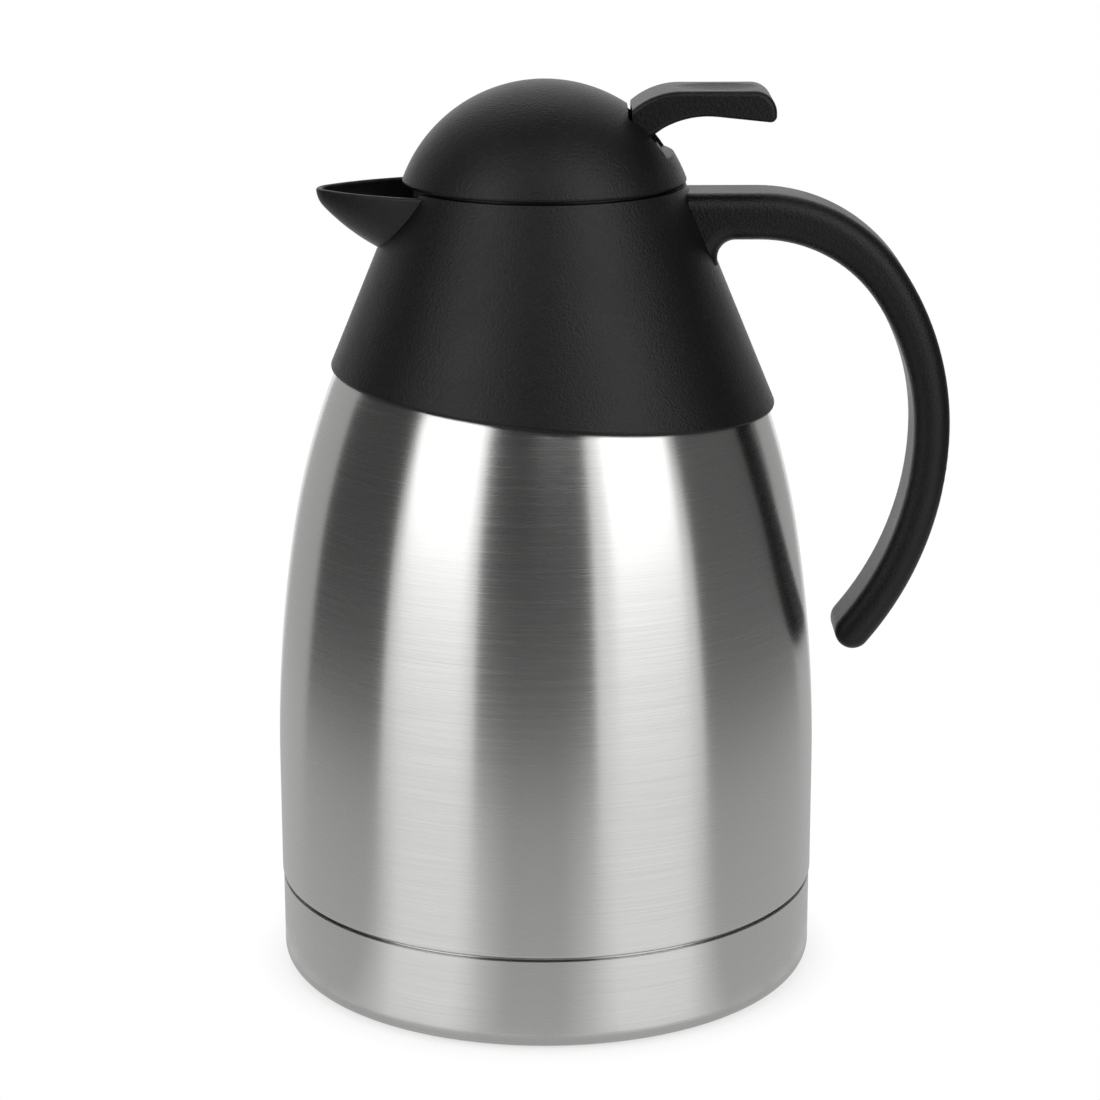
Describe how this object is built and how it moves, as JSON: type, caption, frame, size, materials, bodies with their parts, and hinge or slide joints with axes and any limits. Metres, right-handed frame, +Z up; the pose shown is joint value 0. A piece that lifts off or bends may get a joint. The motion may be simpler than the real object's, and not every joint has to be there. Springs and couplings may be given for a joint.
{
  "type": "thermal jug",
  "caption": "Steel vacuum jug with a black collar and spout, an open-ended handle and a lift-off domed lid whose thumb lever opens a sprung pouring valve.",
  "frame": {"origin": "centre of the foot ring, on the surface the jug stands on", "axes": "+Z up along the flask's axis, +X towards the handle, so the spout points along -X"},
  "size_m": [0.1733, 0.14, 0.232],
  "materials": {
    "steel_brushed": "satin steel brushed round the axis",
    "steel_plain": "plain drawn steel",
    "black_plastic": "matte with a fine spark-eroded grain",
    "inner_plastic": "smooth moulded plastic",
    "silicone": "soft translucent grey",
    "spring_steel": "bright drawn wire",
    "solder_glass": "fused bead",
    "getter_alloy": "sintered pellet"
  },
  "bodies": {
    "flask": {"outer_shell": "steel_brushed", "inner_liner": "steel_plain", "liner_bottom": "steel_plain", "neck_ring": "steel_plain", "vacuum_base": "steel_plain", "getter": "getter_alloy", "vacuum_plug": "solder_glass", "base_cup": "steel_brushed", "neck_gasket": "silicone", "funnel": "inner_plastic", "collar": "black_plastic", "handle": "black_plastic"},
    "lid_seal": {"stopper_seal": "silicone"},
    "lid": {"lid_dome": "black_plastic", "stopper": "inner_plastic", "stem_guide": "inner_plastic", "guide_screws": "steel_plain", "lever_pin": "steel_plain", "valve_spring": "spring_steel"},
    "lever": {"lever": "black_plastic"},
    "valve": {"valve_stem": "inner_plastic", "valve_gasket": "silicone", "stem_head": "inner_plastic"}
  },
  "joints": [
    {"name": "lid_lift", "type": "slide", "parent": "flask", "child": "lid_seal", "axis": [0, 0, 1], "range_m": [0, 0.06]},
    {"name": "lid_turn", "type": "hinge", "parent": "lid_seal", "child": "lid", "pos_m": [0, 0, 0.1944], "axis": [0, 0, 1], "range_deg": [0, 90]},
    {"name": "lever_press", "type": "hinge", "parent": "lid", "child": "lever", "pos_m": [0.022, 0, 0.2145], "axis": [0, 1, 0], "range_deg": [0, 12], "stiffness_Nm_per_rad": 0.3, "springref_deg": -28.65},
    {"name": "valve_lift", "type": "slide", "parent": "lid", "child": "valve", "axis": [0, 0, 1], "range_m": [0, 0.0046], "deforming": ["valve_spring"]}
  ],
  "couplings": [
    {"joint": "lever_press", "follows": "valve_lift", "rad_per_m": 45.455}
  ]
}
